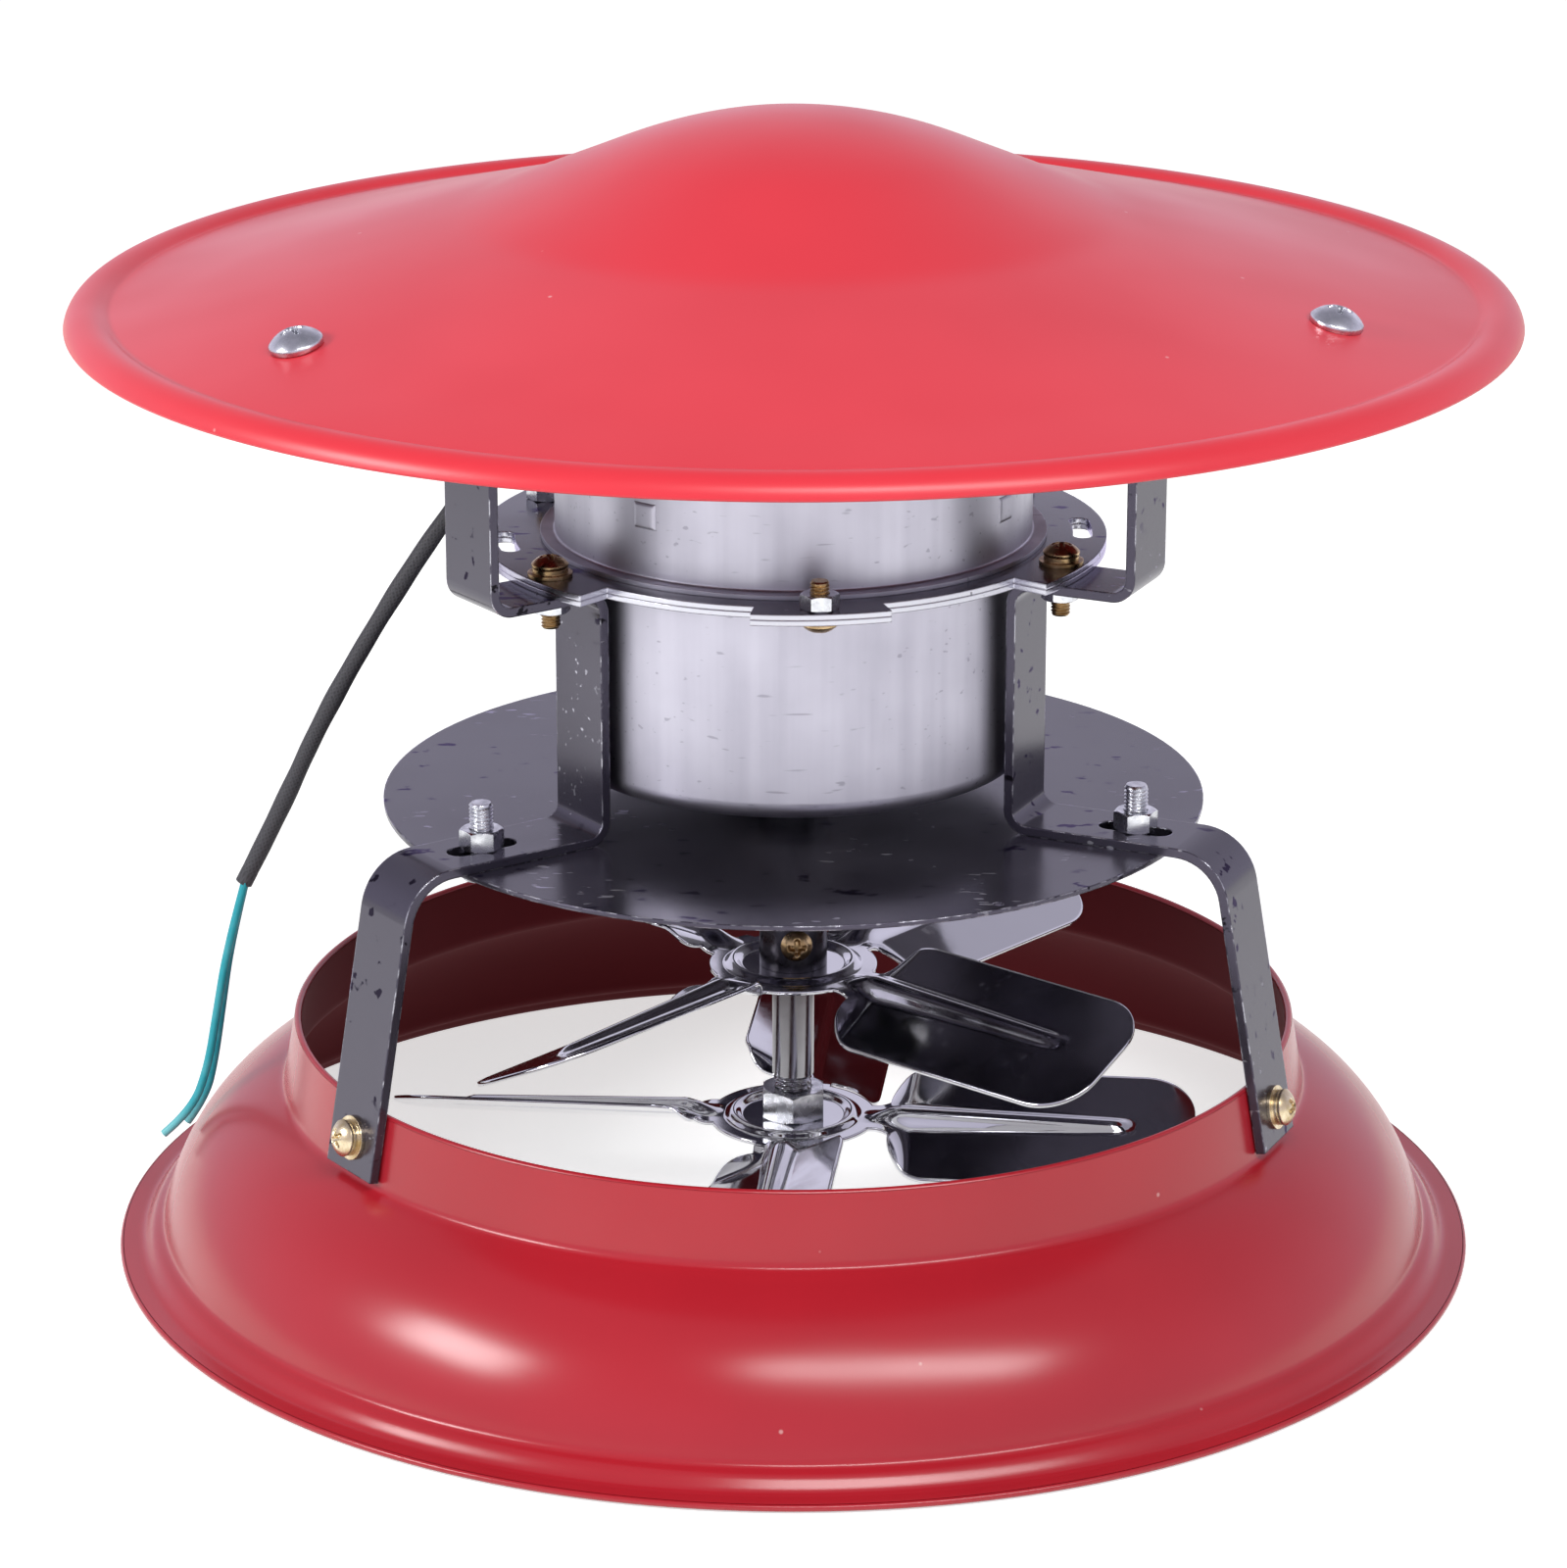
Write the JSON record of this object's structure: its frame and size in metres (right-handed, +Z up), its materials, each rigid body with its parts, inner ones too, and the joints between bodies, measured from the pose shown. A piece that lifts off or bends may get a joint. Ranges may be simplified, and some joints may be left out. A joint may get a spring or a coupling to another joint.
{
  "type": "chimney draught fan",
  "caption": "Flue-top draught fan with a round rain cap, bent strap legs, a canned motor over a heat shield, stamped fans in an open spun base and a short lead.",
  "frame": {"origin": "on the fan's axis at the underside of the base flange", "axes": "+Z up along the shaft, the front clamp tab faces -Y, the supply lead hangs on the -X side"},
  "size_m": [0.3, 0.3, 0.2443],
  "materials": {
    "cap_enamel": "semi-gloss red stove enamel",
    "base_enamel": "semi-gloss dark red stove enamel",
    "black_enamel": "satin black",
    "zinc_sheet": "zinc-plated, drawn",
    "bright_zinc": "bright zinc",
    "yellow_zinc": "yellow-passivated zinc",
    "bearing_steel": "ground",
    "lamination_steel": "stacked sheet",
    "enamelled_copper": "varnished",
    "black_rubber": "matt",
    "sleeve_fabric": "matt woven sleeve",
    "teal_insulation": "smooth",
    "shaft_steel": "turned",
    "cast_aluminium": "cast",
    "polished_steel": "mirror-polished stainless sheet"
  },
  "bodies": {
    "housing": {"base_cowl": "base_enamel", "rain_cap": "cap_enamel", "strap_right": "black_enamel", "strap_rear": "black_enamel", "strap_left": "black_enamel", "heat_shield": "black_enamel", "lower_can": "zinc_sheet", "upper_can": "zinc_sheet", "mount_plate": "black_enamel", "clamp_plate": "black_enamel", "cap_screws": "bright_zinc", "cap_nuts": "bright_zinc", "ear_screws": "yellow_zinc", "ear_washers": "yellow_zinc", "ear_nuts": "bright_zinc", "clamp_screws": "yellow_zinc", "clamp_nuts": "bright_zinc", "shield_bolts": "bright_zinc", "shield_nuts": "bright_zinc", "foot_screws": "yellow_zinc", "foot_washers": "yellow_zinc", "foot_nuts": "bright_zinc", "bearing_holders": "zinc_sheet", "bearing_outer_races": "bearing_steel", "stator_core": "lamination_steel", "stator_windings": "enamelled_copper", "lead_grommet": "black_rubber", "lead_sleeve": "sleeve_fabric", "lead_wire_a": "teal_insulation", "lead_wire_b": "teal_insulation"},
    "rotor": {"motor_shaft": "shaft_steel", "rotor_core": "lamination_steel", "rotor_end_rings": "cast_aluminium", "bearing_inner_races": "bearing_steel", "bearing_balls": "bearing_steel", "upper_fan": "polished_steel", "upper_fan_hub": "shaft_steel", "hub_set_screw": "yellow_zinc", "lower_fan": "polished_steel", "lower_fan_nuts": "bright_zinc"}
  },
  "joints": [
    {"name": "rotor_spin", "type": "hinge", "parent": "housing", "child": "rotor", "pos_m": [0, 0, 0], "axis": [0, 0, 1], "continuous": true}
  ]
}
